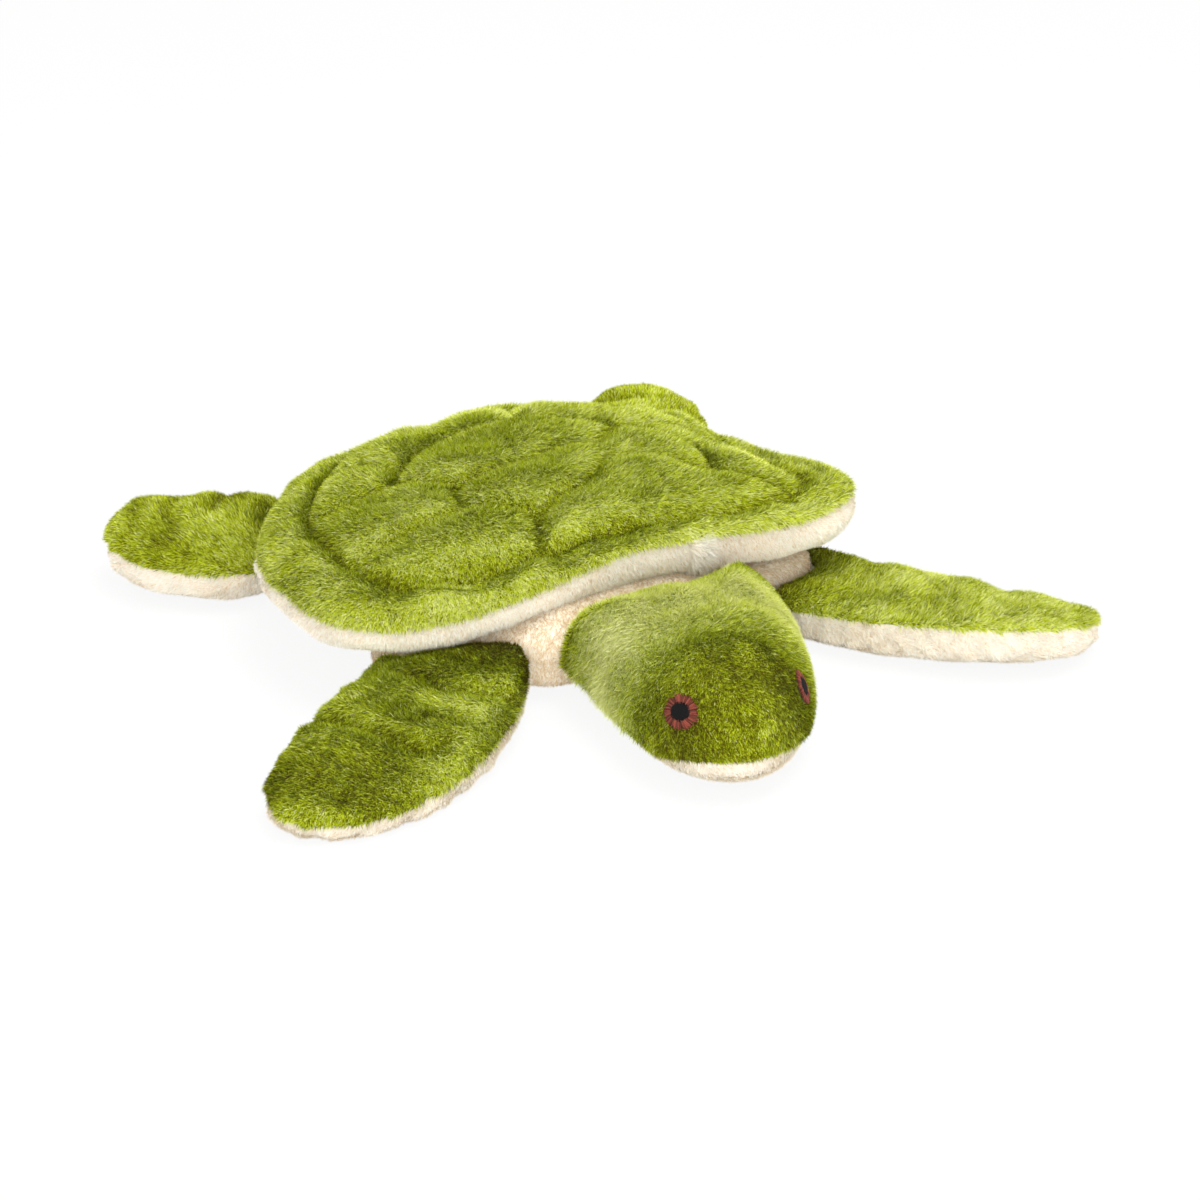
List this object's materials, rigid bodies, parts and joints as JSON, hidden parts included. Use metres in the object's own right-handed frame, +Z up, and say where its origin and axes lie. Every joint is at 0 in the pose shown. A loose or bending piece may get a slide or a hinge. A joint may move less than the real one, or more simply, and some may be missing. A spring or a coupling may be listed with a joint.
{
  "type": "plush turtle",
  "caption": "Stuffed plush turtle lying on its belly, with a quilted shell and a head and flippers that flex at their sewn roots.",
  "frame": {"origin": "middle of the flat that the belly rests on", "axes": "+Z up, -Y towards the head, +X towards the turtle's own left"},
  "size_m": [0.3391, 0.316, 0.0658],
  "materials": {
    "green_plush": "short dense pile",
    "cream_plush": "short brushed pile",
    "fibre_fill": "loose polyester fibre",
    "iris_thread": "satin stitch",
    "pupil_thread": "satin stitch"
  },
  "bodies": {
    "trunk": {"belly_panel": "cream_plush", "body_back_panel": "cream_plush", "body_stuffing": "fibre_fill", "shell_top_panel": "green_plush", "shell_under_panel": "cream_plush", "shell_batting": "fibre_fill"},
    "head": {"head_top_panel_left": "green_plush", "head_top_panel_right": "green_plush", "chin_panel": "cream_plush", "head_stuffing": "fibre_fill", "eye_iris_left": "iris_thread", "eye_iris_right": "iris_thread", "eye_pupil_left": "pupil_thread", "eye_pupil_right": "pupil_thread"},
    "front_right_flipper": {"front_right_flipper_top_panel": "green_plush", "front_right_flipper_under_panel": "cream_plush", "front_right_flipper_stuffing": "fibre_fill"},
    "front_left_flipper": {"front_left_flipper_top_panel": "green_plush", "front_left_flipper_under_panel": "cream_plush", "front_left_flipper_stuffing": "fibre_fill"},
    "rear_right_flipper": {"rear_right_flipper_top_panel": "green_plush", "rear_right_flipper_under_panel": "cream_plush", "rear_right_flipper_stuffing": "fibre_fill"},
    "rear_left_flipper": {"rear_left_flipper_top_panel": "green_plush", "rear_left_flipper_under_panel": "cream_plush", "rear_left_flipper_stuffing": "fibre_fill"}
  },
  "joints": [
    {"name": "head_nod", "type": "hinge", "parent": "trunk", "child": "head", "pos_m": [0.0245, -0.09992, 0.015], "axis": [-0.9996, -0.0274, 0], "range_deg": [-10, 20]},
    {"name": "front_right_flap", "type": "hinge", "parent": "trunk", "child": "front_right_flipper", "pos_m": [-0.08196, -0.0712, 0.015], "axis": [-0.8609, 0.5088, 0], "range_deg": [-15, 20]},
    {"name": "front_left_flap", "type": "hinge", "parent": "trunk", "child": "front_left_flipper", "pos_m": [0.09696, -0.06391, 0.015], "axis": [-0.7095, -0.7047, 0], "range_deg": [-15, 20]},
    {"name": "rear_right_flap", "type": "hinge", "parent": "trunk", "child": "rear_right_flipper", "pos_m": [-0.06526, 0.05741, 0.015], "axis": [0.8413, 0.5406, 0], "range_deg": [-15, 6]},
    {"name": "rear_left_flap", "type": "hinge", "parent": "trunk", "child": "rear_left_flipper", "pos_m": [0.06907, 0.04513, 0.015], "axis": [0.8062, -0.5917, 0], "range_deg": [-15, 15]}
  ]
}
